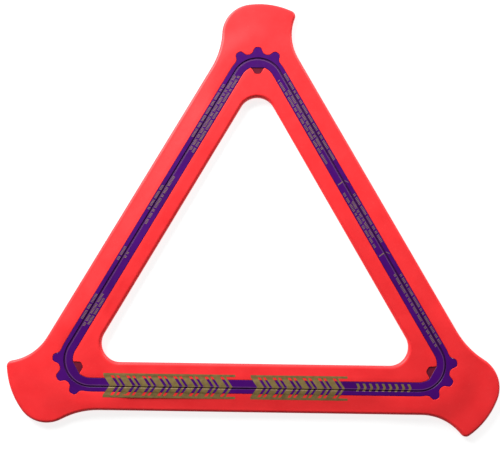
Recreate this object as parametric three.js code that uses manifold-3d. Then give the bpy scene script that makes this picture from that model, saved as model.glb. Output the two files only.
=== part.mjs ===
// Three-armed sport boomerang: a stiff, narrow backbone that runs round an open
// triangle, with a soft rubber edge moulded on its outside, carrying three wing
// tips, and another on its inside. A printed film lies on the backbone's two lands.
//
// Millimetres, +Z up. The origin is on the spin axis at half the thickness, the
// flat underside faces -Z, and one wing tip points along +Y. Seen from above the
// tips lead anticlockwise, so this is the right-handed version.

import * as THREE from 'three';
import { mergeVertices } from 'three/addons/utils/BufferGeometryUtils.js';
import Module from 'manifold-3d';

const wasm = await Module();
wasm.setup();

// ---------------------------------------------------------------------------
// Driving dimensions. A reach is the distance from the spin axis to a straight
// side; a depth is measured down from the top of the printed band.

const ARMS = 3;
const THICKNESS = 4.8; // flat underside to the top of the printed film
const CROWN_DROP = 1.1; // top of the printed film down to the top of the wing tips
const HOLE_DROP = 0.3; // the same down to the top of the rim round the open triangle

const HOLE_REACH = 57.1; // axis to a straight side of the open triangle
const HOLE_CORNER_RADIUS = 11.2;
const INNER_EDGE_WIDTH = 9.25; // soft rubber between the hole and the backbone
const BACKBONE_WIDTH = 7.95;
const OUTER_EDGE_WIDTH = 11.1; // soft rubber outside the backbone, along an arm
const BACKBONE_CORNER_RADIUS = 18.7; // outer side of the backbone

const RIM_WIDTH = 1.8; // how far in the rounding of a soft edge starts
const RIM_ROUNDING = 1.6; // how much of the rim's height is rounded, above and below

// The wing tip's outline, from the centre of the backbone's corner arc: across
// towards the leading or the trailing side, and out along the tip's own axis.
const TIP_LEAD = 21.6;
const TIP_SHOULDER_HEIGHT = 48.5;
const TIP_CROWN_ACROSS = 8.65;
const TIP_CROWN_HEIGHT = 52.15;
const TIP_TRAIL = 23.7;
const TIP_TRAIL_HEIGHT = 45.1;
const LEAD_LEAN = 1.9; // degrees, leading side towards the tip's axis
const FLANK_LEAN = 20.3; // degrees, trailing side away from the tip's axis
const FLARE_RADIUS = 47; // arm to leading side
const SHOULDER_RADIUS = 18.8;
const CROWN_RADIUS = 50;
const TRAIL_RADIUS = 3.6;
const FLANK_RADIUS = 31.5; // trailing side to the next arm

const GROOVE_REACH_IN = 2.9; // backbone's outer side to the middle of the groove
const GROOVE_WIDTH = 1.0;
const GROOVE_DEPTH = 0.7;
const FILM_THICKNESS = 0.2;
const FILM_MARGIN = 0.15; // film's edge to the edge of its land

// The tongue is a thin fin on both sides of the backbone that the rubber grips.
const TONGUE_LENGTH = 1.6;
const TONGUE_THICKNESS = 1.2;

const TOOTH_PITCH = 32; // degrees between the outer teeth of a corner
const TOOTH_HEIGHT = 4.0; // above the backbone's outer side
const TOOTH_TIP_WIDTH = 3.8;
const TOOTH_ROOT_WIDTH = 6.6;
const TOOTH_SKIRT_WIDTH = 11;
const TOOTH_TIP_RADIUS = 2.0;
const TOOTH_ROOT_RADIUS = 2.2;
const INNER_TOOTH_HEIGHT = 4.6; // inwards from the backbone's inner side
const INNER_TOOTH_TIP_WIDTH = 3.4;
const INNER_TOOTH_TIP_RADIUS = 1.6;
const INNER_TOOTH_ROOT_WIDTH = 7.4;
const INNER_TOOTH_DEPTH = 0.4; // its top lies below the printed band
const INNER_LAND_WIDEN = 0.9; // chord that squares off the land above it
const TOOTH_PAD_WIDTH = 1.2; // level rubber left round the tips of the outer teeth

const SEAM = 0.3; // clearance between the backbone and the rubber
const ARC_STEP = 6; // degrees, facet size of the arcs
const TOOTH_ARC_STEP = 22; // the same on the teeth

// ---------------------------------------------------------------------------
// Places worked out from the dimensions.

const BACKBONE_IN = HOLE_REACH + INNER_EDGE_WIDTH;
const BACKBONE_OUT = BACKBONE_IN + BACKBONE_WIDTH;
const ARM_OUT = BACKBONE_OUT + OUTER_EDGE_WIDTH;
const CORNER_REACH = BACKBONE_OUT - BACKBONE_CORNER_RADIUS;
const GROOVE = BACKBONE_OUT - GROOVE_REACH_IN;
const UNDERSIDE = -THICKNESS / 2;
const TOP = THICKNESS / 2;
const LAND = TOP - FILM_THICKNESS;
const RIM_TOP = TOP - CROWN_DROP;
const HOLE_RIM_TOP = TOP - HOLE_DROP;
const OVERCUT = 1; // how far a cutter runs past the face that it opens
const OVERLAP = 0.05; // how deep one blank sinks into the next

const radians = THREE.MathUtils.degToRad;

// ---------------------------------------------------------------------------
// Outlines. Every loop runs anticlockwise as a list of Vector2.

// Rounds each corner { x, y, radius } of a polygon; a corner's fillet gives way
// where its neighbours leave it less room than it asks for.
function roundedLoop(corners, step = ARC_STEP) {
  const count = corners.length;
  const at = corners.map((corner) => new THREE.Vector2(corner.x, corner.y));
  const edges = at.map((point, i) => at[(i + 1) % count].clone().sub(point));
  const turns = edges.map((edge, i) => {
    const before = edges[(i + count - 1) % count];
    return Math.atan2(before.cross(edge), before.dot(edge));
  });
  const wanted = corners.map((corner, i) => corner.radius * Math.abs(Math.tan(turns[i] / 2)));
  const share = edges.map((edge, i) => {
    return Math.min(1, edge.length() / (wanted[i] + wanted[(i + 1) % count] || 1));
  });

  const points = [];
  for (let i = 0; i < count; i += 1) {
    const before = (i + count - 1) % count;
    const reach = wanted[i] * Math.min(share[i], share[before]);
    if (reach === 0) {
      points.push(at[i].clone());
      continue;
    }
    const radius = reach / Math.abs(Math.tan(turns[i] / 2));
    const side = Math.sign(turns[i]);
    const heading = edges[before].clone().normalize();
    const start = at[i].clone().addScaledVector(heading, -reach);
    const centre = start.clone().add(new THREE.Vector2(-heading.y, heading.x).multiplyScalar(side * radius));
    const from = Math.atan2(start.y - centre.y, start.x - centre.x);
    const steps = Math.max(2, Math.round(Math.abs(THREE.MathUtils.radToDeg(turns[i])) / step));
    const arc = new THREE.EllipseCurve(centre.x, centre.y, radius, radius, from, from + turns[i], side < 0);
    points.push(...arc.getPoints(steps));
  }
  return points.filter((point, i) => point.distanceTo(points[(i + 1) % points.length]) > 1e-3);
}

// Moves every side of a loop outwards by the same distance.
function offsetLoop(loop, distance) {
  const outward = (from, to) => new THREE.Vector2(to.y - from.y, from.x - to.x).normalize();
  return loop.map((point, i) => {
    const before = outward(loop[(i + loop.length - 1) % loop.length], point);
    const after = outward(point, loop[(i + 1) % loop.length]);
    const mitre = before.clone().add(after).normalize();
    return point.clone().addScaledVector(mitre, distance / mitre.dot(after));
  });
}

const turned = (loop, degrees) => {
  return loop.map((point) => point.clone().rotateAround(new THREE.Vector2(), radians(degrees)));
};
const shifted = (loop, x, y) => loop.map((point) => new THREE.Vector2(point.x + x, point.y + y));

// The triangle with rounded corners whose sides lie at one reach from the axis.
// Its corner arcs share the backbone's corner centres unless a radius is given.
function triangleLoop(reach, radius = Math.max(reach - CORNER_REACH, 1)) {
  const corners = [];
  for (let arm = 0; arm < ARMS; arm += 1) {
    const angle = radians(90 + (360 / ARMS) * arm);
    corners.push({ x: 2 * reach * Math.cos(angle), y: 2 * reach * Math.sin(angle), radius });
  }
  return roundedLoop(corners);
}

// The whole outline with its three wing tips. An arm's outer side passes the
// corner centre at a fixed distance and slopes at 60 degrees from the tip's axis.
function outlineLoop() {
  const armGap = ARM_OUT - CORNER_REACH;
  const slope = Math.tan(radians(60));
  const armAtAxis = 2 * armGap; // where an arm's side line crosses the tip's axis
  const flank = Math.tan(radians(FLANK_LEAN));
  const lead = Math.tan(radians(LEAD_LEAN));

  const rootY = (armAtAxis - slope * (TIP_TRAIL - TIP_TRAIL_HEIGHT * flank)) / (1 + slope * flank);
  const rootX = TIP_TRAIL - (TIP_TRAIL_HEIGHT - rootY) * flank;
  const flareY = (armAtAxis - slope * (TIP_LEAD + TIP_SHOULDER_HEIGHT * lead)) / (1 - slope * lead);
  const flareX = -TIP_LEAD - (TIP_SHOULDER_HEIGHT - flareY) * lead;

  const tip = [
    { x: rootX, y: rootY, radius: FLANK_RADIUS },
    { x: TIP_TRAIL, y: TIP_TRAIL_HEIGHT, radius: TRAIL_RADIUS },
    { x: TIP_CROWN_ACROSS, y: TIP_CROWN_HEIGHT, radius: CROWN_RADIUS },
    { x: -TIP_LEAD, y: TIP_SHOULDER_HEIGHT, radius: SHOULDER_RADIUS },
    { x: flareX, y: flareY, radius: FLARE_RADIUS },
  ];
  const corners = [];
  for (let arm = 0; arm < ARMS; arm += 1) {
    const angle = radians((360 / ARMS) * arm);
    for (const { x, y, radius } of tip) {
      const point = new THREE.Vector2(x, y + 2 * CORNER_REACH).rotateAround(new THREE.Vector2(), angle);
      corners.push({ x: point.x, y: point.y, radius });
    }
  }
  return roundedLoop(corners);
}

// One tooth from the corner centre: it grows out of the backbone's outer arc.
function outerTooth(pitchAngle) {
  const root = BACKBONE_CORNER_RADIUS;
  const skirt = root * Math.cos(Math.asin(TOOTH_SKIRT_WIDTH / 2 / root));
  const base = root - BACKBONE_WIDTH / 2;
  const loop = roundedLoop([
    { x: -TOOTH_SKIRT_WIDTH / 2, y: base, radius: 0 },
    { x: TOOTH_SKIRT_WIDTH / 2, y: base, radius: 0 },
    { x: TOOTH_SKIRT_WIDTH / 2, y: skirt, radius: 0 },
    { x: TOOTH_ROOT_WIDTH / 2, y: root + 0.3, radius: TOOTH_ROOT_RADIUS },
    { x: TOOTH_TIP_WIDTH / 2, y: root + TOOTH_HEIGHT, radius: TOOTH_TIP_RADIUS },
    { x: -TOOTH_TIP_WIDTH / 2, y: root + TOOTH_HEIGHT, radius: TOOTH_TIP_RADIUS },
    { x: -TOOTH_ROOT_WIDTH / 2, y: root + 0.3, radius: TOOTH_ROOT_RADIUS },
    { x: -TOOTH_SKIRT_WIDTH / 2, y: skirt, radius: 0 },
  ], TOOTH_ARC_STEP);
  return turned(loop, pitchAngle);
}

// The single tooth inside a corner points back towards the hole.
function innerTooth() {
  const root = BACKBONE_CORNER_RADIUS - BACKBONE_WIDTH;
  const base = root + BACKBONE_WIDTH / 2;
  const chord = root - INNER_LAND_WIDEN;
  return roundedLoop([
    { x: -TOOTH_SKIRT_WIDTH / 2, y: base, radius: 0 },
    { x: -TOOTH_SKIRT_WIDTH / 2, y: chord, radius: 0 },
    { x: -INNER_TOOTH_ROOT_WIDTH / 2, y: chord - 0.3, radius: TOOTH_ROOT_RADIUS },
    { x: -INNER_TOOTH_TIP_WIDTH / 2, y: root - INNER_TOOTH_HEIGHT, radius: INNER_TOOTH_TIP_RADIUS },
    { x: INNER_TOOTH_TIP_WIDTH / 2, y: root - INNER_TOOTH_HEIGHT, radius: INNER_TOOTH_TIP_RADIUS },
    { x: INNER_TOOTH_ROOT_WIDTH / 2, y: chord - 0.3, radius: TOOTH_ROOT_RADIUS },
    { x: TOOTH_SKIRT_WIDTH / 2, y: chord, radius: 0 },
    { x: TOOTH_SKIRT_WIDTH / 2, y: base, radius: 0 },
  ], TOOTH_ARC_STEP);
}

// The land above the inner tooth, squared off by a chord across the corner.
function innerLand() {
  const root = BACKBONE_CORNER_RADIUS - BACKBONE_WIDTH;
  const half = TOOTH_SKIRT_WIDTH / 2;
  const chord = root - INNER_LAND_WIDEN;
  const base = root + BACKBONE_WIDTH / 2;
  return [
    new THREE.Vector2(-half, chord),
    new THREE.Vector2(half, chord),
    new THREE.Vector2(half, base),
    new THREE.Vector2(-half, base),
  ];
}

// ---------------------------------------------------------------------------
// Solids.

function toSolid(geometry) {
  const bare = geometry.clone();
  bare.deleteAttribute('normal');
  bare.deleteAttribute('uv');
  const merged = mergeVertices(bare, 1e-4);
  return new wasm.Manifold(new wasm.Mesh({
    numProp: 3,
    vertProperties: merged.getAttribute('position').array,
    triVerts: new Uint32Array(merged.getIndex().array),
  }));
}

function toGeometry(solid) {
  const mesh = solid.getMesh();
  const geometry = new THREE.BufferGeometry();
  geometry.setAttribute('position', new THREE.BufferAttribute(mesh.vertProperties, 3));
  geometry.setIndex(new THREE.BufferAttribute(mesh.triVerts, 1));
  geometry.computeVertexNormals();
  return geometry;
}

// A flat plate of one outline between two heights.
function prism(loop, low, high) {
  const options = { depth: high - low, bevelEnabled: false };
  const geometry = new THREE.ExtrudeGeometry(new THREE.Shape(loop), options);
  return toSolid(geometry.translate(0, 0, low));
}

// A closed section of [reach, height] pairs, carried round the rounded triangle.
function ringSolid(section) {
  const loops = section.map(([reach]) => triangleLoop(reach));
  const length = loops[0].length;
  const positions = [];
  const index = [];
  loops.forEach((loop, i) => {
    const next = (i + 1) % loops.length;
    loop.forEach((point, j) => {
      positions.push(point.x, point.y, section[i][1]);
      const along = (j + 1) % length;
      index.push(i * length + j, i * length + along, next * length + along);
      index.push(i * length + j, next * length + along, next * length + j);
    });
  });
  const geometry = new THREE.BufferGeometry();
  geometry.setAttribute('position', new THREE.Float32BufferAttribute(positions, 3));
  geometry.setIndex(index);
  return toSolid(geometry);
}

const box = (inner, outer, low, high) => [[inner, low], [outer, low], [outer, high], [inner, high]];

// Calls make(arm angle) for the three corners and joins what it returns.
function atEveryCorner(make) {
  let joined = null;
  for (let arm = 0; arm < ARMS; arm += 1) {
    const solid = make((360 / ARMS) * arm);
    joined = joined ? joined.add(solid) : solid;
  }
  return joined;
}

// Places a corner's outline, drawn from the corner centre, on one of the arms.
const onCorner = (loop, angle) => turned(shifted(loop, 0, 2 * CORNER_REACH), angle);

function outerTeeth(grow, low, high) {
  return atEveryCorner((angle) => {
    const pitches = [-TOOTH_PITCH, 0, TOOTH_PITCH];
    const teeth = pitches.map((pitch) => {
      return prism(onCorner(offsetLoop(outerTooth(pitch), grow), angle), low, high);
    });
    return teeth[0].add(teeth[1]).add(teeth[2]);
  });
}

function innerTeeth(grow, low, high) {
  return atEveryCorner((angle) => prism(onCorner(offsetLoop(innerTooth(), grow), angle), low, high));
}

function innerLands(grow, low, high) {
  return atEveryCorner((angle) => prism(onCorner(offsetLoop(innerLand(), grow), angle), low, high));
}

// A plate round the open triangle, from the underside up to a height, with rounded rims.
function rimmedPlate(outline, high) {
  const shape = new THREE.Shape(outline);
  shape.holes.push(new THREE.Path(triangleLoop(HOLE_REACH, HOLE_CORNER_RADIUS)));
  const thickness = high - UNDERSIDE;
  const rounding = Math.min(RIM_ROUNDING, 0.45 * thickness);
  const plate = new THREE.ExtrudeGeometry(shape, {
    depth: thickness - 2 * rounding,
    bevelThickness: rounding,
    bevelSize: RIM_WIDTH,
    bevelOffset: -RIM_WIDTH,
    bevelSegments: 4,
  });
  return toSolid(plate.translate(0, 0, UNDERSIDE + rounding));
}

// The rubber as one blank: a plate as high as the wing tips, a higher one round the
// open triangle, which ends inside the backbone, and a shallow crown that meets the
// printed band. The backbone's seat is cut out of it afterwards.
function rubberBlank() {
  const plate = rimmedPlate(outlineLoop(), RIM_TOP);
  const innerPlate = rimmedPlate(triangleLoop(GROOVE + RIM_WIDTH), HOLE_RIM_TOP);
  const foot = RIM_TOP - OVERLAP;

  // Round each corner the crown stays level past the teeth, then falls to the tip.
  const padRadius = BACKBONE_CORNER_RADIUS + TOOTH_HEIGHT + TOOTH_PAD_WIDTH;
  const padFoot = Math.max(ARM_OUT - RIM_WIDTH - CORNER_REACH, padRadius + 0.5);
  const pads = atEveryCorner((angle) => {
    const pad = new THREE.CylinderGeometry(padRadius, padFoot, TOP - foot, 360 / ARC_STEP);
    pad.rotateX(radians(90)).translate(0, 2 * CORNER_REACH, (TOP + foot) / 2).rotateZ(radians(angle));
    return toSolid(pad);
  });
  const inside = prism(triangleLoop(BACKBONE_IN), 0, TOP + OVERCUT);

  const crownIn = HOLE_REACH + RIM_WIDTH;
  const crownOut = ARM_OUT - RIM_WIDTH;
  const crown = ringSolid([
    [crownIn, 0],
    [crownOut, 0],
    [crownOut, foot],
    [BACKBONE_OUT, TOP],
    [BACKBONE_IN, TOP],
    [crownIn, HOLE_RIM_TOP - OVERLAP],
  ]);
  return plate.add(innerPlate).add(crown).add(pads.subtract(inside));
}

// The room that the backbone takes in the rubber, with the seam all round it.
function backboneSeat() {
  const low = UNDERSIDE - OVERCUT;
  const high = TOP + OVERCUT;
  const half = TONGUE_THICKNESS / 2 + SEAM;
  const reach = TONGUE_LENGTH + SEAM;
  return ringSolid(box(BACKBONE_IN - SEAM, BACKBONE_OUT + SEAM, low, high))
    .add(ringSolid(box(BACKBONE_IN - reach, BACKBONE_OUT + reach, -half, half)))
    .add(outerTeeth(SEAM, low, high))
    .add(innerTeeth(SEAM, low, high));
}

function makeBackbone() {
  const half = TONGUE_THICKNESS / 2;
  const grooveOut = GROOVE + GROOVE_WIDTH / 2;
  const grooveIn = GROOVE - GROOVE_WIDTH / 2;
  const floorHalf = GROOVE_WIDTH / 4;
  const body = ringSolid([
    [BACKBONE_IN, UNDERSIDE],
    [BACKBONE_OUT, UNDERSIDE],
    [BACKBONE_OUT, -half],
    [BACKBONE_OUT + TONGUE_LENGTH, -half],
    [BACKBONE_OUT + TONGUE_LENGTH, half],
    [BACKBONE_OUT, half],
    [BACKBONE_OUT, LAND],
    [grooveOut, LAND],
    [GROOVE + floorHalf, LAND - GROOVE_DEPTH],
    [GROOVE - floorHalf, LAND - GROOVE_DEPTH],
    [grooveIn, LAND],
    [BACKBONE_IN, LAND],
    [BACKBONE_IN, half],
    [BACKBONE_IN - TONGUE_LENGTH, half],
    [BACKBONE_IN - TONGUE_LENGTH, -half],
    [BACKBONE_IN, -half],
  ]);
  const keepGroove = ringSolid(box(GROOVE - GROOVE_WIDTH, GROOVE + GROOVE_WIDTH, 0, TOP + OVERCUT));
  const teeth = outerTeeth(0, UNDERSIDE, LAND).subtract(keepGroove);
  return body
    .add(teeth)
    .add(innerTeeth(0, UNDERSIDE, TOP - INNER_TOOTH_DEPTH))
    .add(innerLands(0, UNDERSIDE, LAND).subtract(keepGroove));
}

// The film on the land outside the groove follows the outer teeth.
function makeOuterFilm() {
  const inner = GROOVE + GROOVE_WIDTH / 2 + FILM_MARGIN;
  const land = ringSolid(box(inner, BACKBONE_OUT - FILM_MARGIN, LAND, TOP));
  const inside = prism(triangleLoop(inner), LAND - OVERCUT, TOP + OVERCUT);
  return land.add(outerTeeth(-FILM_MARGIN, LAND, TOP).subtract(inside));
}

// The film on the land inside the groove stops at the chord over the inner tooth.
function makeInnerFilm() {
  const outer = GROOVE - GROOVE_WIDTH / 2 - FILM_MARGIN;
  const land = ringSolid(box(BACKBONE_IN + FILM_MARGIN, outer, LAND, TOP));
  const inside = prism(triangleLoop(outer), LAND, TOP);
  return land.add(innerLands(-FILM_MARGIN, LAND, TOP).intersect(inside));
}

// ---------------------------------------------------------------------------
// The boomerang.

const group = new THREE.Group();

function addPiece(name, solid, color, roughness) {
  const material = new THREE.MeshStandardMaterial({ color, roughness, metalness: 0 });
  const mesh = new THREE.Mesh(toGeometry(solid), material);
  mesh.name = name;
  group.add(mesh);
}

const blank = rubberBlank();
const seat = backboneSeat();
const middle = prism(triangleLoop(GROOVE), UNDERSIDE - OVERCUT, TOP + OVERCUT);

addPiece('backbone', makeBackbone(), 0x3a0a1e, 0.45);
addPiece('outer_soft_edge', blank.subtract(middle).subtract(seat), 0xff3238, 0.55);
addPiece('inner_soft_edge', blank.intersect(middle).subtract(seat), 0xff3238, 0.55);
addPiece('outer_print_film', makeOuterFilm(), 0x4b1191, 0.4);
addPiece('inner_print_film', makeInnerFilm(), 0x4b1191, 0.4);

export default group;
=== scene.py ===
# A three-armed sport boomerang, in metres and in the frame of its CAD model: the origin
# is on the spin axis at half the thickness, +Z is up, and one wing tip points to +Y.
import bisect
import math
import random

import bmesh
import bpy
from mathutils import Euler, Matrix, Vector


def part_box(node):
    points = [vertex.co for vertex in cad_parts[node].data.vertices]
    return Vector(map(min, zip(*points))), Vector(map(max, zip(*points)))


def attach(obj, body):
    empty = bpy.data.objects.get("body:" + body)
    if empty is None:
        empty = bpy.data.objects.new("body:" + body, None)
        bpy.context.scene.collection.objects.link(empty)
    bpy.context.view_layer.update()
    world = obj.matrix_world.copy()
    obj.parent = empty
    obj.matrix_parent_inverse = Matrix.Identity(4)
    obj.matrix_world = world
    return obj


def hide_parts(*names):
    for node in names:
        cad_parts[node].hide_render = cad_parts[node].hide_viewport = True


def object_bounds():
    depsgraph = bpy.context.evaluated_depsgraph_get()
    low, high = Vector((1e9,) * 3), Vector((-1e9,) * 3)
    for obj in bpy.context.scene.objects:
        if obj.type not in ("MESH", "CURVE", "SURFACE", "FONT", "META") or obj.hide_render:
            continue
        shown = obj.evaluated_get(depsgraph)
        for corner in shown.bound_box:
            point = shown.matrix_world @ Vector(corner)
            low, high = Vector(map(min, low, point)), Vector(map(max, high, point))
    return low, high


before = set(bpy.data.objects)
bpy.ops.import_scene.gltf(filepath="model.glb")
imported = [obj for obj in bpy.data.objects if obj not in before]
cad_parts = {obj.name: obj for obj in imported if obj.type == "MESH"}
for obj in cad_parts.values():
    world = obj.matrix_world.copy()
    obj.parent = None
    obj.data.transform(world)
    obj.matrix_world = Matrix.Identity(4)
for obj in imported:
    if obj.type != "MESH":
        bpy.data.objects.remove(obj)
cad_low, cad_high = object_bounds()

# ---------------------------------------------------------------------------
# Camera: a normal lens half a metre above the boomerang, leaning a few degrees
# from the vertical so that the top wing tip is a little further away.
MM = 0.001
LENS, SENSOR_WIDTH = 53.64, 36
CAMERA_LEAN = Euler([math.radians(degrees) for degrees in (4.94, 0.81, 0.73)])
CAMERA_AIM = Vector((-3.51, 25.31, 0)) * MM
CAMERA_DISTANCE = 448.8 * MM

camera_data = bpy.data.cameras.new("camera")
camera_data.lens = LENS
camera_data.sensor_width = SENSOR_WIDTH
camera = bpy.data.objects.new("camera", camera_data)
camera.rotation_euler = CAMERA_LEAN
camera.location = CAMERA_AIM + CAMERA_LEAN.to_matrix() @ Vector((0, 0, CAMERA_DISTANCE))
bpy.context.collection.objects.link(camera)
bpy.context.scene.camera = camera
bpy.context.scene.view_settings.view_transform = "Standard"

# ---------------------------------------------------------------------------
# Floor and light: a white table that glows a little and is clear from underneath, a
# broad soft light from the upper left, a weaker one from the upper right, and a dim sky.
FLOOR_SIZE = 6.0
FLOOR_GAP = 0.2 * MM
FLOOR_WHITE = (0.28, 0.28, 0.28, 1)
FLOOR_GLOW = 0.84
WHITE = (1, 1, 1, 1)
SKY_STRENGTH = 0.12


def new_material(name):
    """A material with its node tree, its shader and the piece's own coordinates."""
    material = bpy.data.materials.new(name)
    material.use_nodes = True
    tree = material.node_tree
    place = tree.nodes.new("ShaderNodeTexCoord").outputs["Object"]
    return material, tree, tree.nodes["Principled BSDF"], place


def add_node(tree, kind, inputs, **settings):
    """Adds one node; an input given as a socket is linked, anything else is its value."""
    node = tree.nodes.new(kind)
    for name, value in settings.items():
        setattr(node, name, value)
    for name, value in inputs.items():
        if isinstance(value, bpy.types.NodeSocket):
            tree.links.new(value, node.inputs[name])
        else:
            node.inputs[name].default_value = value
    return node


floor_mesh = bmesh.new()
bmesh.ops.create_grid(floor_mesh, x_segments=1, y_segments=1, size=FLOOR_SIZE / 2)
bmesh.ops.translate(floor_mesh, verts=floor_mesh.verts, vec=(0, 0, cad_low.z - FLOOR_GAP))
floor_data = bpy.data.meshes.new("floor")
floor_mesh.to_mesh(floor_data)
floor_mesh.free()
floor = bpy.data.objects.new("floor", floor_data)
bpy.context.collection.objects.link(floor)
floor_paint, tree, shader, _ = new_material("white_table")
shader.inputs["Base Color"].default_value = FLOOR_WHITE
shader.inputs["Roughness"].default_value = 0.9
shader.inputs["Specular IOR Level"].default_value = 0.1
shader.inputs["Emission Color"].default_value = WHITE
shader.inputs["Emission Strength"].default_value = FLOOR_GLOW
clear = tree.nodes.new("ShaderNodeBsdfTransparent").outputs["BSDF"]
from_below = tree.nodes.new("ShaderNodeNewGeometry").outputs["Backfacing"]
one_way = add_node(tree, "ShaderNodeMixShader", {
    0: from_below, 1: shader.outputs["BSDF"], 2: clear,
})
tree.links.new(one_way.outputs["Shader"], tree.nodes["Material Output"].inputs["Surface"])
floor_data.materials.append(floor_paint)

world = bpy.data.worlds.new("sky")
world.use_nodes = True
sky = world.node_tree.nodes["Background"]
sky.inputs["Color"].default_value = WHITE
sky.inputs["Strength"].default_value = SKY_STRENGTH
bpy.context.scene.world = world


def soft_light(name, place, size, watts):
    """A square light panel at a place, turned to face the boomerang's middle."""
    data = bpy.data.lights.new(name, "AREA")
    data.size = size
    data.energy = watts
    light = bpy.data.objects.new(name, data)
    light.location = place
    light.rotation_euler = (-Vector(place)).to_track_quat("-Z", "Y").to_euler()
    bpy.context.collection.objects.link(light)


soft_light("upper_left_panel", (-0.53, 0.66, 0.41), 0.45, 18.2)
soft_light("upper_right_panel", (0.56, 0.72, 0.30), 0.4, 6.5)

# ---------------------------------------------------------------------------
# Outer soft edge: one coral-red rubber moulding round the outside of the band, with the
# three wing tips on it. It is moulded over the backbone and grips the backbone's teeth.

# Lines round the boomerang are drawn for one third of it, from the middle of the right
# arm round the top corner to the middle of the left arm, and then repeated.
ARMS = 3
THIRD = math.radians(360 / ARMS)
RIGHT = Vector((math.cos(math.radians(30)), math.sin(math.radians(30))))
LEFT = Vector((-RIGHT.x, RIGHT.y))
ALONG_RIGHT = Vector((-RIGHT.y, RIGHT.x))
ALONG_LEFT = Vector((-LEFT.y, LEFT.x))

# Reaches are measured from the spin axis, square to an arm. The backbone's lowest point
# is the corner of a tooth, 0.2 mm beyond its tongue, so they come out that much longer.
TONGUE_LENGTH = 1.6 * MM
BAND_WIDTH = 7.95 * MM
OUTER_EDGE_WIDTH = 11.1 * MM
INNER_EDGE_WIDTH = 9.25 * MM
BAND_OUT = -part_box("backbone")[0].y - TONGUE_LENGTH
BAND_IN = BAND_OUT - BAND_WIDTH
CORNER_RADIUS = 18.7 * MM
CORNER_REACH = BAND_OUT - CORNER_RADIUS
CORNER = Vector((0, 2 * CORNER_REACH))
ARM_OUT = BAND_OUT + OUTER_EDGE_WIDTH
HOLE_REACH = BAND_IN - INNER_EDGE_WIDTH

UNDERSIDE = cad_low.z
INK = 0.04 * MM
TOP = cad_high.z - INK
CROWN_DROP = 1.1 * MM
HOLE_DROP = 0.3 * MM
SEAM_DIP = 0.09 * MM
SEAM_DIP_WIDTH = 2.2 * MM
RIM_WIDTH = 1.8 * MM
RIM_ROUNDING = 1.6 * MM
RIM_WALL_FOOT = UNDERSIDE + RIM_ROUNDING
RIM_STEPS = 7
FOOT_STEPS = 5
STEEPEST_START = 0.3

TOOTH_PITCH = 32
TOOTH_HEIGHT = 4.0 * MM
TOOTH_TIP = 3.8 * MM
TOOTH_ROOT = 6.6 * MM
TOOTH_TIP_RADIUS = 2.0 * MM
TOOTH_ROOT_RADIUS = 2.2 * MM
TOOTH_ROOT_RISE = 0.3 * MM
TOOTH_ARC_STEP = 12

# The wing tip, across and out from its corner's centre.
TIP_LEAD, TIP_SHOULDER = 21.6 * MM, 48.5 * MM
TIP_CROWN_ACROSS, TIP_CROWN = 8.65 * MM, 52.15 * MM
TIP_TRAIL, TIP_TRAIL_HEIGHT = 23.7 * MM, 45.1 * MM
TIP_FLARE_RADIUS = 31.5 * MM
TIP_TRAIL_RADIUS = 3.6 * MM
TIP_CROWN_RADIUS = 50 * MM
TIP_SHOULDER_RADIUS = 18.8 * MM
TIP_LEAD_RADIUS = 47 * MM
TIP_ARC_STEP = 4
LEAD_OVERRUN = 20 * MM
# How far its two sides lean towards its middle, as slopes.
LEAD_LEAN, TRAIL_LEAN = math.tan(math.radians(1.9)), math.tan(math.radians(20.3))

SEAM = 0.05 * MM
LIP = 0.22 * MM
WALL_FOOT = 0.15 * MM
PAD_RADIUS = 24.5 * MM
PAD_SLOPE = 15 * MM

# The crown of the top: how it falls across an arm, and the camber of a wing tip.
FALL_CURVE = 0.85
FALL_LIMIT = 1.3
FALL_BLEND = 0.05
TIP_CAMBER = 0.35 * MM
CAMBER_START, CAMBER_RISE = 22 * MM, 16 * MM
CAMBER_HALF_WIDTH = 26 * MM

# Spaces between the points of half an arm, and the closest that two points may lie.
ARM_SPACES = 12
CLOSEST_WAYS = 0.0012


def polar(angle, radius):
    return radius * Vector((math.cos(math.radians(angle)), math.sin(math.radians(angle))))


def arc(radius, start, end, step=3):
    """Points on an arc about the corner centre, both ends included."""
    count = max(1, round(abs(end - start) / step))
    return [polar(start + (end - start) * i / count, radius) for i in range(count + 1)]


def rounded(corners, step):
    """An open line through corners (x, y, radius), its corners rounded to arcs with a
    point every few degrees; two arcs share a side that is too short for both."""
    at = [Vector(corner[:2]) for corner in corners]
    sides = [end - start for start, end in zip(at, at[1:])]
    turns = [0.0] + [math.atan2(a.cross(b), a.dot(b)) for a, b in zip(sides, sides[1:])] + [0.0]
    wanted = [corner[2] * abs(math.tan(turn / 2)) for corner, turn in zip(corners, turns)]
    share = [min(1, side.length / max(before + after, 1e-9))
             for side, before, after in zip(sides, wanted, wanted[1:])]
    points = []
    for i, turn in enumerate(turns):
        if wanted[i] == 0:
            points.append(at[i])
            continue
        reach = wanted[i] * min(share[i - 1], share[i])
        heading = sides[i - 1].normalized()
        side = math.copysign(reach / abs(math.tan(turn / 2)), turn)
        centre = at[i] - heading * reach + side * Vector((-heading.y, heading.x))
        spoke = at[i] - heading * reach - centre
        count = max(2, round(abs(math.degrees(turn)) / step))
        points += [centre + Matrix.Rotation(turn * k / count, 2) @ spoke for k in range(count + 1)]
    return [p for i, p in enumerate(points) if i == 0 or (p - points[i - 1]).length > 1e-6]


def offset(points, distance):
    """Moves an open line sideways, away from the hole for a positive distance."""
    moved = []
    for i, point in enumerate(points):
        before = point - points[i - 1] if i else points[1] - point
        after = points[i + 1] - point if i + 1 < len(points) else before
        normal = before.normalized() + after.normalized()
        normal = Vector((normal.y, -normal.x)).normalized()
        lean = normal.dot(Vector((after.y, -after.x)).normalized())
        moved.append(point + normal * distance / max(lean, 0.5))
    return moved


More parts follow.
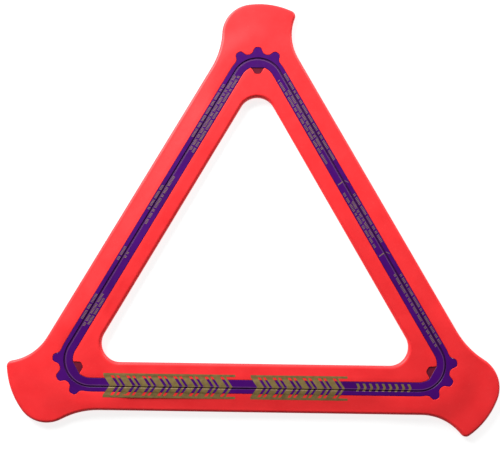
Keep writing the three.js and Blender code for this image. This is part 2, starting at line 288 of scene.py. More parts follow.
def whole_third(corner_points, ways, reach):
    """A line round one third as (way, point): way 0 to 1 is the right arm, 1 to 2 the
    corner and 2 to 3 the left arm. The corner's points are given from its centre."""
    line = [(way, CORNER + point) for way, point in zip(ways, corner_points)]
    return [(0, RIGHT * reach)] + line + [(3, LEFT * reach)]


def by_angle(points):
    """The ways of points round a corner, by their direction from its centre."""
    return [1 + (math.degrees(math.atan2(p.y, p.x)) - 30) / 120 for p in points]


def ring_line(reach, radius=None):
    """A rounded triangle at one reach from the axis, about the band's corner centres
    unless its corners have a radius of their own."""
    about = CORNER_REACH if radius is None else reach - radius
    shift = Vector((0, 2 * (about - CORNER_REACH)))
    points = arc(reach - about, 30, 150)
    return whole_third([p + shift for p in points], by_angle(points), reach)


def toothed_line(out):
    """The band's outer side with its three teeth to a corner, moved outwards."""
    half = TOOTH_PITCH / 2
    foot = polar(90 - half, CORNER_RADIUS)
    root, crest = CORNER_RADIUS + TOOTH_ROOT_RISE, CORNER_RADIUS + TOOTH_HEIGHT
    tooth = rounded([
        (foot.x, foot.y, 0),
        (TOOTH_ROOT / 2, root, TOOTH_ROOT_RADIUS),
        (TOOTH_TIP / 2, crest, TOOTH_TIP_RADIUS),
        (-TOOTH_TIP / 2, crest, TOOTH_TIP_RADIUS),
        (-TOOTH_ROOT / 2, root, TOOTH_ROOT_RADIUS),
        (-foot.x, foot.y, 0),
    ], TOOTH_ARC_STEP)
    points = arc(CORNER_RADIUS, 30, 90 - 3 * half)[:-1]
    for pitch in (-TOOTH_PITCH, 0, TOOTH_PITCH):
        points += [Matrix.Rotation(math.radians(pitch), 2) @ p for p in tooth][:-1]
    points += arc(CORNER_RADIUS, 90 + 3 * half, 150)
    return whole_third(offset(points, out), by_angle(points), BAND_OUT + out)


def tip_line(inset):
    """The outline of a wing tip and its two half arms, moved inwards. The trailing
    side, on the right, flares into the arm; the leading side is nearly straight."""
    gap = ARM_OUT - CORNER_REACH
    slope = math.tan(math.radians(60))
    root_y = ((2 * gap - slope * (TIP_TRAIL - TIP_TRAIL_HEIGHT * TRAIL_LEAN))
              / (1 + slope * TRAIL_LEAN))
    root_x = TIP_TRAIL - (TIP_TRAIL_HEIGHT - root_y) * TRAIL_LEAN
    flare_y = (2 * gap - slope * (TIP_LEAD + TIP_SHOULDER * LEAD_LEAN)) / (1 - slope * LEAD_LEAN)
    flare_x = -TIP_LEAD - (TIP_SHOULDER - flare_y) * LEAD_LEAN
    start, end = RIGHT * gap, LEFT * gap + ALONG_LEFT * LEAD_OVERRUN
    points = rounded([
        (*start, 0),
        (root_x, root_y, TIP_FLARE_RADIUS),
        (TIP_TRAIL, TIP_TRAIL_HEIGHT, TIP_TRAIL_RADIUS),
        (TIP_CROWN_ACROSS, TIP_CROWN, TIP_CROWN_RADIUS),
        (-TIP_LEAD, TIP_SHOULDER, TIP_SHOULDER_RADIUS),
        (flare_x, flare_y, TIP_LEAD_RADIUS),
        (*end, 0),
    ], TIP_ARC_STEP)
    travelled = [0.0]
    for before, after in zip(points, points[1:]):
        travelled.append(travelled[-1] + (after - before).length)
    arm_length = 2 * CORNER_REACH * RIGHT.x
    last = 2 + points[-2].dot(ALONG_LEFT) / arm_length
    ways = [1 + (last - 1) * gone / travelled[-2] for gone in travelled]
    return whole_third(offset(points, -inset)[:-1], ways[:-1], ARM_OUT - inset)


def point_at(line, way):
    """The point of a line at one way round."""
    i = min(max(bisect.bisect_right(line, way, key=lambda knot: knot[0]), 1), len(line) - 1)
    (start, first), (end, last) = line[i - 1], line[i]
    return first.lerp(last, (way - start) / (end - start))


def ways_of(*lines):
    """Every way at which one of the lines bends, with an even spacing on the arms."""
    found = [way for line in lines for way, point in line]
    found += [i / ARM_SPACES for i in range(ARM_SPACES)]
    found += [2 + i / ARM_SPACES for i in range(1, ARM_SPACES + 1)]
    kept = [0.0]
    for way in sorted(found):
        if way - kept[-1] > CLOSEST_WAYS:
            kept.append(way)
    return kept[:-1] + [3.0]


def level(line, ways, height):
    """A row of points on a line, all at one height."""
    return [point_at(line, way).to_3d() + Vector((0, 0, height)) for way in ways]


def smooth_step(share):
    share = min(max(share, 0), 1)
    return share * share * (3 - 2 * share)


def reach_of(point):
    """How far out a point of the top third lies, measured as the rings are."""
    beyond = point - CORNER
    if beyond.dot(ALONG_RIGHT) > 0 > beyond.dot(ALONG_LEFT):
        return CORNER_REACH + beyond.length
    return max(point.dot(RIGHT), point.dot(LEFT))


def crown_height(point):
    """The rubber's top: level with the band beside it and all round a corner, lower
    towards the rims of the arms and out on the wing tips, which have a camber, and
    dipping a little along its seam with the band."""
    reach = reach_of(point)
    if reach > BAND_OUT:
        share = (reach - BAND_OUT) / (ARM_OUT - RIM_WIDTH - BAND_OUT)
    else:
        share = (BAND_IN - reach) / (BAND_IN - RIM_WIDTH - HOLE_REACH) * HOLE_DROP / CROWN_DROP
    arm_fall = min(max(share, 0), FALL_LIMIT) ** FALL_CURVE
    from_seam = max(reach - BAND_OUT, BAND_IN - reach)
    dip = SEAM_DIP * (1 - smooth_step(from_seam / SEAM_DIP_WIDTH))
    from_corner = (point - CORNER).length
    pad_fall = smooth_step((from_corner - PAD_RADIUS) / PAD_SLOPE)
    either = math.exp(-arm_fall / FALL_BLEND) + math.exp(-pad_fall / FALL_BLEND)
    fall = max(-FALL_BLEND * math.log(either), 0)
    out = point.y - CORNER.y
    camber = smooth_step((out - CAMBER_START) / CAMBER_RISE)
    camber *= max(0, 1 - (point.x / CAMBER_HALF_WIDTH) ** 2)
    return TOP - CROWN_DROP * fall + TIP_CAMBER * camber - dip


def draped(row):
    """A row laid onto the rubber's top."""
    return [Vector((p.x, p.y, crown_height(p.to_2d()))) for p in row]


def between(first, last, share):
    return [a.lerp(b, share) for a, b in zip(first, last)]


def at_height(row, height):
    return [Vector((p.x, p.y, height)) for p in row]


def rim_rows(inner, edge, before, wall_top):
    """The rounded rim from a row on the top to the edge, down its short wall and
    round to the underside. It sets out at the slope that the top arrives with."""
    rows = []
    for step in range(1, RIM_STEPS + 1):
        angle = math.radians(90 * step / RIM_STEPS)
        row = []
        for start, end, behind in zip(inner, edge, before):
            slope = (behind.z - start.z) / max((start - behind).to_2d().length, 1e-6)
            slope = min(max(slope, 0), STEEPEST_START)
            out = start.lerp(end, math.sin(angle))
            fall = slope * RIM_WIDTH * math.sin(angle)
            rest = start.z - wall_top - slope * RIM_WIDTH
            out.z = start.z - fall - rest * (1 - math.cos(angle))
            row.append(out)
        rows.append(row)
    for step in range(FOOT_STEPS + 1):
        angle = math.radians(90 * step / FOOT_STEPS)
        row = [start.lerp(end, math.cos(angle)) for start, end in zip(inner, edge)]
        rows.append(at_height(row, RIM_WALL_FOOT - RIM_ROUNDING * math.sin(angle)))
    return rows


def closed_ring(rows, rims):
    """Skins the rows of one third into a closed tube, merges the ends of a row that
    coincide, and repeats it on all arms. Each row's rim value is kept on its points."""
    columns, count = len(rows[0]) - 1, len(rows)
    mesh = bmesh.new()
    bmesh.ops.create_grid(mesh, x_segments=columns, y_segments=count, size=1)
    rim = mesh.verts.layers.float.new("rim")
    for vert in mesh.verts:
        column = round((vert.co.x + 1) / 2 * columns)
        row = round((vert.co.y + 1) / 2 * count) % count
        vert.co = rows[row][column]
        vert[rim] = rims[row]
    bmesh.ops.remove_doubles(mesh, verts=mesh.verts, dist=0.001 * MM)
    bmesh.ops.spin(mesh, geom=mesh.verts[:] + mesh.edges[:] + mesh.faces[:], cent=(0, 0, 0),
                   axis=(0, 0, 1), angle=THIRD * (ARMS - 1), steps=ARMS - 1, use_duplicate=True)
    bmesh.ops.remove_doubles(mesh, verts=mesh.verts, dist=0.002 * MM)
    bmesh.ops.recalc_face_normals(mesh, faces=mesh.faces)
    return mesh


def make_piece(name, mesh, material, sharp=38):
    """A smooth-shaded object of a finished mesh, with edges sharper than an angle kept."""
    data = bpy.data.meshes.new(name)
    mesh.to_mesh(data)
    mesh.free()
    data.shade_smooth()
    data.set_sharp_from_angle(angle=math.radians(sharp))
    data.materials.append(material)
    piece = bpy.data.objects.new(name, data)
    bpy.context.collection.objects.link(piece)
    return piece


# How far across each row of a soft edge lies, and the rim value of its rows, which is 1
# where landings rub the rubber pale and 0 beside the band.
SEAM_SHARES = (0.04, 0.12, 0.24, 0.36, 0.5, 0.65, 0.82)
TOP_STEPS = 12
UNDERSIDE_SHARES = (0.3, 0.6, 0.9)
PAD_RIM, INNER_RIM = 0.1, 0.4
FOOT_RIMS = [1.0, 0.9, 0.7, 0.5, 0.3, 0.2]
UNDERSIDE_RIMS = [0.1, 0.05, 0.0]


def rubber_rows(seam_line, wall_line, pad_line, rim_line, edge_line, rim_drop):
    """The rows of a soft edge, from its foot at the band up over its top to its rim
    and back along the underside; rim_drop is how far its rim lies below the band."""
    ways = ways_of(wall_line, edge_line)
    wall = level(wall_line, ways, 0)
    lip_end = level(seam_line, ways, 0)
    pad = level(pad_line, ways, 0)
    inner = draped(level(rim_line, ways, 0))
    edge = level(edge_line, ways, 0)
    rows = [
        at_height(between(wall, lip_end, 0.6), UNDERSIDE),
        at_height(wall, UNDERSIDE + WALL_FOOT),
        at_height(wall, TOP - SEAM_DIP - LIP),
        at_height(between(wall, lip_end, 0.3), TOP - SEAM_DIP - 0.3 * LIP),
        draped(lip_end),
    ]
    rims = [0.0] * len(rows)
    for share in SEAM_SHARES:
        rows.append(draped(between(lip_end, pad, share)))
        rims.append(PAD_RIM * share)
    for step in range(TOP_STEPS):
        rows.append(draped(between(pad, inner, step / TOP_STEPS)))
        rims.append(PAD_RIM + (INNER_RIM - PAD_RIM) * step / TOP_STEPS)
    before = rows[-1]
    rows.append(inner)
    rims.append(INNER_RIM)
    rows += rim_rows(inner, edge, before, cad_high.z - rim_drop - RIM_ROUNDING)
    rims += [INNER_RIM + (1 - INNER_RIM) * (i + 1) / RIM_STEPS for i in range(RIM_STEPS)]
    rims += FOOT_RIMS
    foot = rows[-1]
    rows += [between(foot, rows[0], share) for share in UNDERSIDE_SHARES]
    rims += UNDERSIDE_RIMS
    return rows, rims


outer_rows, outer_rims = rubber_rows(
    toothed_line(SEAM + LIP),
    toothed_line(SEAM),
    ring_line(CORNER_REACH + PAD_RADIUS),
    tip_line(RIM_WIDTH),
    tip_line(0),
    CROWN_DROP,
)

RUBBER_RED = (0.88, 0.024, 0.028, 1)
RUBBER_DEEP = (0.81, 0.019, 0.023, 1)
RUBBER_PALE = (0.95, 0.10, 0.09, 1)


def colour_mix(tree, share, first, second):
    """A colour between two, by a socket or a number."""
    node = tree.nodes.new("ShaderNodeMix")
    node.data_type = "RGBA"
    for index, value in ((0, share), (6, first), (7, second)):
        if isinstance(value, bpy.types.NodeSocket):
            tree.links.new(value, node.inputs[index])
        else:
            node.inputs[index].default_value = value
    return node.outputs[2]


def noise(tree, place, scale, detail=3, roughness=0.5):
    node = add_node(tree, "ShaderNodeTexNoise", {
        "Vector": place, "Scale": scale, "Detail": detail, "Roughness": roughness,
    })
    return node.outputs["Fac"]


def ramp(tree, value, low, high, first=0.0, last=1.0):
    """Stretches a value from the range low to high onto first to last."""
    return add_node(tree, "ShaderNodeMapRange", {
        "Value": value, "From Min": low, "From Max": high, "To Min": first, "To Max": last,
    }).outputs["Result"]


def times(tree, first, second):
    return add_node(tree, "ShaderNodeMath", {0: first, 1: second}, operation="MULTIPLY").outputs[0]


def bump(tree, shader, *layers):
    """Chains bumps of (height, depth in metres, strength) onto a shader."""
    normal = None
    for height, depth, strength in layers:
        inputs = {"Height": height, "Distance": depth, "Strength": strength}
        if normal is not None:
            inputs["Normal"] = normal
        normal = add_node(tree, "ShaderNodeBump", inputs).outputs["Normal"]
    tree.links.new(normal, shader.inputs["Normal"])


def soft_rubber():
    """Satin coral-red rubber: slow colour variation of the compound, a fine moulded
    grain, a hardly visible waviness, and rims rubbed paler and rougher by landings."""
    material, tree, shader, place = new_material("soft_rubber")
    rim = add_node(tree, "ShaderNodeAttribute", {}, attribute_name="rim").outputs["Fac"]
    cloud = ramp(tree, noise(tree, place, 55, 4), 0.38, 0.66)
    speck = ramp(tree, noise(tree, place, 900, 2), 0.62, 0.74)
    colour = colour_mix(tree, cloud, RUBBER_RED, RUBBER_DEEP)
    scratches = ramp(tree, noise(tree, place, 420, 6, 0.65), 0.5, 0.72)
    scuff = times(tree, scratches, ramp(tree, rim, 0.5, 1.0))
    colour = colour_mix(tree, times(tree, scuff, 0.35), colour, RUBBER_PALE)
    colour = colour_mix(tree, times(tree, speck, 0.12), colour, RUBBER_PALE)
    tree.links.new(colour, shader.inputs["Base Color"])
    rough = add_node(tree, "ShaderNodeMath", {
        0: ramp(tree, noise(tree, place, 140, 3), 0.3, 0.7, 0.46, 0.56), 1: times(tree, scuff, 0.2),
    }, operation="ADD").outputs[0]
    tree.links.new(rough, shader.inputs["Roughness"])
    shader.inputs["Specular IOR Level"].default_value = 0.36
    grain = noise(tree, place, 2600, 2)
    wave = noise(tree, place, 90, 2)
    bump(tree, shader, (wave, 0.25 * MM, 0.5), (grain, 0.03 * MM, 0.5))
    return material


rubber = soft_rubber()
outer_edge = make_piece("outer_rubber_edge", closed_ring(outer_rows, outer_rims), rubber)
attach(outer_edge, "root")
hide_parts("outer_soft_edge")

# ---------------------------------------------------------------------------
# Inner soft edge: one moulding of the same rubber on the hole's side of the band. It
# fills the corners of the triangle and is notched round the backbone's inner tooth there.
INNER_RADIUS = CORNER_RADIUS - BAND_WIDTH
INNER_LAND_WIDENING = 0.9 * MM
CHORD = INNER_RADIUS - INNER_LAND_WIDENING
INNER_ARC_STEP = 4
INNER_PAD = 5.4 * MM
INNER_TOOTH = 4.6 * MM
INNER_TOOTH_ROOT = 7.4 * MM
INNER_TOOTH_TIP = 3.4 * MM
INNER_TOOTH_TIP_RADIUS = 1.6 * MM
HOLE_CORNER_RADIUS = 11.2 * MM


def notched_line(out, chord_only=False):
    """The band's inner side with its tooth in the corner, or only with the chord that
    squares off the land above that tooth."""
    half = math.sqrt(INNER_RADIUS ** 2 - CHORD ** 2)
    angle = math.degrees(math.acos(half / INNER_RADIUS))
    crest = INNER_RADIUS - INNER_TOOTH
    corners = [(half, CHORD, 0)]
    if not chord_only:
        corners += [
            (INNER_TOOTH_ROOT / 2, CHORD - TOOTH_ROOT_RISE, TOOTH_ROOT_RADIUS),
            (INNER_TOOTH_TIP / 2, crest, INNER_TOOTH_TIP_RADIUS),
            (-INNER_TOOTH_TIP / 2, crest, INNER_TOOTH_TIP_RADIUS),
            (-INNER_TOOTH_ROOT / 2, CHORD - TOOTH_ROOT_RISE, TOOTH_ROOT_RADIUS),
        ]
    corners.append((-half, CHORD, 0))
    points = arc(INNER_RADIUS, 30, angle, INNER_ARC_STEP)[:-1]
    points += rounded(corners, TOOTH_ARC_STEP)
    points += arc(INNER_RADIUS, 180 - angle, 150, INNER_ARC_STEP)[1:]
    return whole_third(offset(points, out), by_angle(points), BAND_IN + out)


inner_rows, inner_rims = rubber_rows(
    notched_line(-SEAM - LIP),
    notched_line(-SEAM),
    ring_line(HOLE_REACH + INNER_PAD, HOLE_CORNER_RADIUS + INNER_PAD),
    ring_line(HOLE_REACH + RIM_WIDTH, HOLE_CORNER_RADIUS + RIM_WIDTH),
    ring_line(HOLE_REACH, HOLE_CORNER_RADIUS),
    HOLE_DROP,
)
inner_edge = make_piece("inner_rubber_edge", closed_ring(inner_rows, inner_rims), rubber)
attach(inner_edge, "root")
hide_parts("inner_soft_edge")

# ---------------------------------------------------------------------------
# Backbone: the stiff injection-moulded band that carries the rubber. Its top has a
# groove between two lands; three teeth outside each corner stand level with the lands
# and the one inside lies lower, unprinted.
FILM = 0.16 * MM
LAND = TOP - FILM
GROOVE = BAND_OUT - 2.9 * MM
GROOVE_WIDTH = 0.8 * MM
GROOVE_DEPTH = 0.3 * MM
INNER_TOOTH_TOP = cad_high.z - 0.4 * MM
EDGE = 0.12 * MM

tooth_line = toothed_line(0)
tooth_inset = toothed_line(-EDGE)
chord_line = notched_line(0, chord_only=True)
chord_inset = notched_line(EDGE, chord_only=True)
notch_line = notched_line(0)
notch_inset = notched_line(EDGE)
band_ways = ways_of(tooth_line, notch_line)
groove_out, groove_in = GROOVE + GROOVE_WIDTH / 2, GROOVE - GROOVE_WIDTH / 2
floor_half = GROOVE_WIDTH / 4
band_rows = [
    level(notch_inset, band_ways, UNDERSIDE),
    level(tooth_inset, band_ways, UNDERSIDE),
    level(tooth_line, band_ways, UNDERSIDE + EDGE),
    level(tooth_line, band_ways, LAND - EDGE),
    level(tooth_inset, band_ways, LAND),
    level(ring_line(groove_out + EDGE), band_ways, LAND),
    level(ring_line(groove_out), band_ways, LAND - EDGE / 2),
    level(ring_line(GROOVE + floor_half), band_ways, LAND - GROOVE_DEPTH),
    level(ring_line(GROOVE - floor_half), band_ways, LAND - GROOVE_DEPTH),
    level(ring_line(groove_in), band_ways, LAND - EDGE / 2),
    level(ring_line(groove_in - EDGE), band_ways, LAND),
    level(chord_inset, band_ways, LAND),
    level(chord_line, band_ways, LAND - EDGE),
    level(chord_line, band_ways, INNER_TOOTH_TOP),
    level(notch_inset, band_ways, INNER_TOOTH_TOP),
    level(notch_line, band_ways, INNER_TOOTH_TOP - EDGE),
    level(notch_line, band_ways, UNDERSIDE + EDGE),
]

BACKBONE_MAROON = (0.125, 0.0045, 0.020, 1)
BACKBONE_WORN = (0.16, 0.010, 0.032, 1)
# Painted shade: a dark purple for the groove, standing in for the shadow inside it.
GROOVE_PAINTED_SHADE = (0.034, 0.0018, 0.056, 1)


def backbone_plastic():
    """Dark maroon moulded plastic: a satin spark-eroded texture, faint flow clouds
    from the moulding, slightly polished patches, and painted shade in the groove:
    a dark purple that stands in for the groove's shadow."""
    material, tree, shader, place = new_material("backbone_plastic")
    cloud = ramp(tree, noise(tree, place, 120, 5), 0.4, 0.7)
    colour = colour_mix(tree, cloud, BACKBONE_MAROON, BACKBONE_WORN)
    # Painted shade: the groove's rows are coloured dark purple where the groove lies in shadow.
    groove = add_node(tree, "ShaderNodeAttribute", {}, attribute_name="rim").outputs["Fac"]
    tree.links.new(colour_mix(tree, groove, colour, GROOVE_PAINTED_SHADE), shader.inputs["Base Color"])
    shader.inputs["Specular IOR Level"].default_value = 0.25
    rough = ramp(tree, noise(tree, place, 300, 3), 0.3, 0.7, 0.36, 0.52)
    tree.links.new(rough, shader.inputs["Roughness"])
    bump(tree, shader, (noise(tree, place, 3200, 2), 0.02 * MM, 0.6))
    return material


# The rows of the groove, lip to lip, carry the value that the painted shade in the groove follows.
GROOVE_ROWS = range(5, 11)
in_groove = [1.0 if row in GROOVE_ROWS else 0.0 for row in range(len(band_rows))]
backbone = make_piece("moulded_backbone", closed_ring(band_rows, in_groove), backbone_plastic())
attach(backbone, "root")
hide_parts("backbone")

# ---------------------------------------------------------------------------
# Printed films: purple hot-stamped foil on the two lands, a hair inside their edges.
# The outer one runs out over the teeth, the inner one stops at the chord.
FILM_MARGIN = 0.14 * MM
FILM_EDGE = 0.05 * MM


def film_rows(inside, inside_inset, outside, outside_inset, ways):
    """The rows of a film, whose upper edges are a little rounded."""
    return [
        level(inside, ways, LAND),
        level(outside, ways, LAND),
        level(outside, ways, TOP - FILM_EDGE),
        level(outside_inset, ways, TOP),
        level(inside_inset, ways, TOP),
        level(inside, ways, TOP - FILM_EDGE),
    ]


FILM_PURPLE = (0.062, 0.0018, 0.150, 1)
FILM_DARK = (0.048, 0.0014, 0.115, 1)
FILM_RUBBED = (0.095, 0.010, 0.19, 1)


def purple_foil():
    """Purple foil with a soft gloss: the tint drifts a little along the band, and
    fine rubs and pinholes show on it."""
    material, tree, shader, place = new_material("purple_foil")
    cloud = ramp(tree, noise(tree, place, 40, 3), 0.35, 0.65)
    colour = colour_mix(tree, cloud, FILM_PURPLE, FILM_DARK)
    rub = ramp(tree, noise(tree, place, 700, 5, 0.7), 0.60, 0.72)
    colour = colour_mix(tree, times(tree, rub, 0.35), colour, FILM_RUBBED)
    tree.links.new(colour, shader.inputs["Base Color"])
    rough = ramp(tree, noise(tree, place, 260, 4), 0.3, 0.7, 0.36, 0.50)
    tree.links.new(rough, shader.inputs["Roughness"])
    shader.inputs["Specular IOR Level"].default_value = 0.14
    ripple, grain = noise(tree, place, 500, 2), noise(tree, place, 3000, 2)
    bump(tree, shader, (ripple, 0.03 * MM, 0.4), (grain, 0.01 * MM, 0.4))
    return material


foil = purple_foil()
NO_RIM = [0.0] * 6
outer_ways = ways_of(tooth_line, ring_line(BAND_OUT))
outer_film = make_piece("outer_foil_band", closed_ring(film_rows(
    ring_line(groove_out + EDGE),
    ring_line(groove_out + EDGE + FILM_EDGE),
    toothed_line(-FILM_MARGIN),
    toothed_line(-FILM_MARGIN - FILM_EDGE),
    outer_ways,
), NO_RIM), foil)
inner_ways = ways_of(chord_line, ring_line(BAND_IN))
inner_film = make_piece("inner_foil_band", closed_ring(film_rows(
    notched_line(FILM_MARGIN, chord_only=True),
    notched_line(FILM_MARGIN + FILM_EDGE, chord_only=True),
    ring_line(groove_in - EDGE),
    ring_line(groove_in - EDGE - FILM_EDGE),
    inner_ways,
), NO_RIM), foil)
for film, node in ((outer_film, "outer_print_film"), (inner_film, "inner_print_film")):
    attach(film, "root")
    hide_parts(node)

# ---------------------------------------------------------------------------
# Pinstripe: a thin pale line of ink printed on the inner film all round, just inside
# the groove.
STRIPE_WIDTH = 0.34 * MM
STRIPE_REACH = GROOVE - 0.95 * MM
STRIPE_INK = 0.02 * MM

stripe_ways = ways_of(ring_line(STRIPE_REACH))
stripe_rows = [
    level(ring_line(STRIPE_REACH + side * STRIPE_WIDTH / 2), stripe_ways, height)
    for side, height in ((-1, TOP), (1, TOP), (1, TOP + STRIPE_INK), (-1, TOP + STRIPE_INK))
]


def printed_ink(name, colour, dark, metal, roughness):
    """Dull metallic ink: slightly uneven cover, pinholes and a rough dry surface."""
    material, tree, shader, place = new_material(name)
    cover = ramp(tree, noise(tree, place, 380, 4), 0.35, 0.68)
    tree.links.new(colour_mix(tree, cover, colour, dark), shader.inputs["Base Color"])
    rough = ramp(tree, noise(tree, place, 900, 3), 0.3, 0.7, roughness - 0.06, roughness + 0.08)
    tree.links.new(rough, shader.inputs["Roughness"])
    shader.inputs["Metallic"].default_value = metal
    bump(tree, shader, (noise(tree, place, 2200, 3), 0.015 * MM, 0.5))
    return material


pale_ink = printed_ink("pale_ink", (0.135, 0.045, 0.15, 1), (0.10, 0.03, 0.12, 1), 0.1, 0.5)
stripe = make_piece("pale_pinstripe", closed_ring(stripe_rows, NO_RIM), pale_ink)
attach(stripe, "root")

# ---------------------------------------------------------------------------
# Gold marks: a generic pattern of chevrons in dull gold ink, printed over the bottom arm
# from one soft edge across the band to the other; it follows the surface and the groove.
MARK_IN, MARK_OUT = 63.6 * MM, 77.7 * MM
RAIL = 1.3 * MM
RAIL_GAP = 0.05 * MM
CHEVRON_POINT = 4.0 * MM
BOLD_STROKE, SLIM_START, SLIM_STROKE = 0.46, 0.66, 0.17  # as shares of the pitch
CUT_SPACING = 0.75 * MM
CUT_MARGIN = 0.3 * MM
FOIL_LIP = EDGE + FILM_EDGE

# The surface across the groove, as (reach, height) from film edge to film edge.
GROOVE_PROFILE = (
    (groove_in - FOIL_LIP, TOP),
    (groove_in - EDGE, LAND),
    (groove_in, LAND - EDGE / 2),
    (GROOVE - floor_half, LAND - GROOVE_DEPTH),
    (GROOVE + floor_half, LAND - GROOVE_DEPTH),
    (groove_out, LAND - EDGE / 2),
    (groove_out + EDGE, LAND),
    (groove_out + FOIL_LIP, TOP),
)


def bottom_surface(along, reach):
    """The height of what the ink lies on, on the bottom arm."""
    if BAND_IN < reach < BAND_OUT:
        for (start, low), (end, high) in zip(GROOVE_PROFILE, GROOVE_PROFILE[1:]):
            if start <= reach <= end:
                return low + (high - low) * (reach - start) / (end - start)
        return TOP
    turn = THIRD if along > 0 else -THIRD
    return crown_height(Matrix.Rotation(turn, 2) @ Vector((along, -reach)))


def bottom_marks(shapes):
    """Ink shapes as lists of (along, reach): flat faces cut across at the steps of the
    surface, laid onto it, and given the ink's thickness."""
    mesh = bmesh.new()
    for shape in shapes:
        mesh.faces.new([mesh.verts.new((along, -reach, 0)) for along, reach in shape])
    cuts = [MARK_IN + CUT_SPACING * i for i in range(1, 20)]
    cuts = [cut for cut in cuts if not BAND_IN - CUT_MARGIN < cut < BAND_OUT + CUT_MARGIN]
    cuts += [reach for reach, height in GROOVE_PROFILE]
    cuts += [BAND_IN - SEAM - LIP, BAND_IN + FILM_MARGIN]
    cuts += [BAND_OUT - FILM_MARGIN, BAND_OUT + SEAM + LIP]
    for cut in cuts:
        bmesh.ops.bisect_plane(mesh, geom=mesh.verts[:] + mesh.edges[:] + mesh.faces[:],
                               plane_co=(0, -cut, 0), plane_no=(0, 1, 0), dist=1e-7)
    for vert in mesh.verts:
        vert.co.z = bottom_surface(vert.co.x, -vert.co.y)
    bmesh.ops.recalc_face_normals(mesh, faces=mesh.faces)
    up = sum(face.normal.z for face in mesh.faces)
    if up < 0:
        bmesh.ops.reverse_faces(mesh, faces=mesh.faces)
    lifted = bmesh.ops.extrude_face_region(mesh, geom=mesh.faces[:])["geom"]
    tops = [item for item in lifted if isinstance(item, bmesh.types.BMVert)]
    bmesh.ops.translate(mesh, verts=tops, vec=(0, 0, INK))
    bmesh.ops.recalc_face_normals(mesh, faces=mesh.faces)
    return mesh


def chevron(along, stroke, point, low, high):
    """The outline of one chevron, its point lying ahead of its two ends."""
    middle = (low + high) / 2
    return [(along, low), (along + stroke, low), (along + stroke + point, middle),
            (along + stroke, high), (along, high), (along + point, middle)]


def chevron_run(start, end, count):
    """A ribbon of bold and slim chevrons in turn, between two border lines."""
    low, high = MARK_IN + RAIL + RAIL_GAP, MARK_OUT - RAIL - RAIL_GAP
    shapes = [[(start, near), (end, near), (end, far), (start, far)]
              for near, far in ((MARK_IN, MARK_IN + RAIL), (MARK_OUT - RAIL, MARK_OUT))]
    pitch = (end - start - CHEVRON_POINT) / count
    for i in range(count):
        along = start + pitch * i
        for first, stroke in ((0, BOLD_STROKE), (SLIM_START, SLIM_STROKE)):
            shapes.append(chevron(along + first * pitch, stroke * pitch, CHEVRON_POINT, low, high))
    return shapes


gold = printed_ink("gold_ink", (0.235, 0.165, 0.050, 1), (0.17, 0.115, 0.035, 1), 0.2, 0.5)
big_shapes = chevron_run(-89 * MM, -11 * MM, 8) + chevron_run(-2 * MM, 55 * MM, 6)
big_marks = make_piece("gold_chevrons", bottom_marks(big_shapes), gold)

SMALL_START, SMALL_PITCH, SMALL_COUNT = 60, 3.75, 9
SMALL_STROKE, SMALL_POINT = 1.5 * MM, 1.0 * MM
SMALL_IN, SMALL_OUT = 67.6 * MM, 72.1 * MM
small_shapes = [
    chevron((SMALL_START + SMALL_PITCH * i) * MM, SMALL_STROKE, SMALL_POINT, SMALL_IN, SMALL_OUT)
    for i in range(SMALL_COUNT)
]
small_marks = make_piece("small_gold_chevrons", bottom_marks(small_shapes), gold)
for marks in (big_marks, small_marks):
    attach(marks, "root")

# ---------------------------------------------------------------------------
# Fine marks: lines of small slanted ticks in dull ink on the films of the other two
# arms, in groups as short and long as words but with nothing to read, and two angled
# strokes across the right arm's band.
TICK_HEIGHT = 1.4 * MM
TICK_WIDTH = 0.42 * MM
TICK_PITCH = 0.86 * MM
TICK_SLANT = 0.3 * MM
BRACKETS = (-30.5 * MM, 18.7 * MM)
BRACKET_STROKE = 0.55 * MM
BRACKET_GAP = 0.3 * MM
BRACKET_SIDES = (
    (groove_out + BRACKET_GAP, BAND_OUT - 0.8 * MM, 2.0 * MM),
    (groove_in - BRACKET_GAP, BAND_IN + 0.9 * MM, 0.4 * MM),
)
TICK_INK = 0.024 * MM

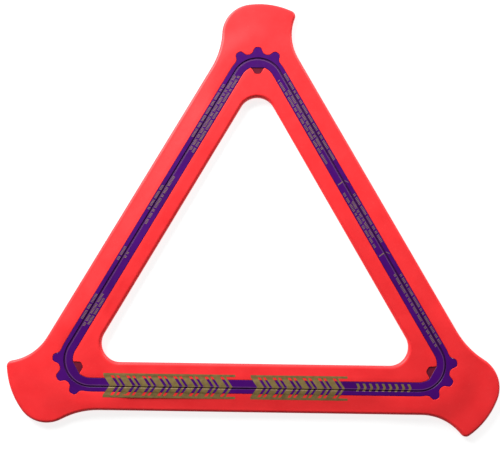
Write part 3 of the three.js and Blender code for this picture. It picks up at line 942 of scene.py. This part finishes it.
# Each line is a reach, a start and an end in millimetres, by the turn to its arm.
fine_lines = {
    120: [(73.1, -93, -46), (70.0, -93, -44), (73.1, -24, 10), (70.0, -19, 6), (68.0, -25, 12),
          (73.1, 33, 94), (70.0, 42, 84), (68.0, 33, 92)],
    240: [(73.1, -86, -49), (70.0, -94, -41), (68.0, -95, -40), (73.1, -14, 3), (70.0, -22, 11),
          (73.1, 29, 38), (70.0, 31, 36), (73.1, 62, 80), (70.0, 60, 82), (68.0, 62, 80)],
}
word_lengths = random.Random(7)
tick_mesh = bmesh.new()
for arm, lines in fine_lines.items():
    turn = Matrix.Rotation(math.radians(arm), 3, "Z")
    for reach, start, end in lines:
        along, word = start * MM, word_lengths.randint(2, 8)
        while along < end * MM:
            low, high = reach * MM - TICK_HEIGHT / 2, reach * MM + TICK_HEIGHT / 2
            corners = [(along, low), (along + TICK_WIDTH, low),
                       (along + TICK_WIDTH + TICK_SLANT, high), (along + TICK_SLANT, high)]
            verts = [tick_mesh.verts.new(turn @ Vector((x, -y, TOP))) for x, y in corners]
            tick_mesh.faces.new(verts)
            word -= 1
            along += TICK_PITCH
            if word == 0:
                along += TICK_PITCH
                word = word_lengths.randint(2, 8)
right_arm = Matrix.Rotation(THIRD, 3, "Z")
for along in BRACKETS:
    for near, far, slant in BRACKET_SIDES:
        corners = [(along, near), (along + BRACKET_STROKE, near),
                   (along + BRACKET_STROKE - slant, far), (along - slant, far)]
        verts = [tick_mesh.verts.new(right_arm @ Vector((x, -y, TOP))) for x, y in corners]
        tick_mesh.faces.new(verts)
bmesh.ops.recalc_face_normals(tick_mesh, faces=tick_mesh.faces)
lifted = bmesh.ops.extrude_face_region(tick_mesh, geom=tick_mesh.faces[:])["geom"]
tops = [item for item in lifted if isinstance(item, bmesh.types.BMVert)]
bmesh.ops.translate(tick_mesh, verts=tops, vec=(0, 0, TICK_INK))
bmesh.ops.recalc_face_normals(tick_mesh, faces=tick_mesh.faces)
fine_ink = printed_ink("fine_ink", (0.25, 0.16, 0.095, 1), (0.18, 0.105, 0.08, 1), 0.15, 0.5)
ticks = make_piece("fine_tick_lines", tick_mesh, fine_ink)
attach(ticks, "root")
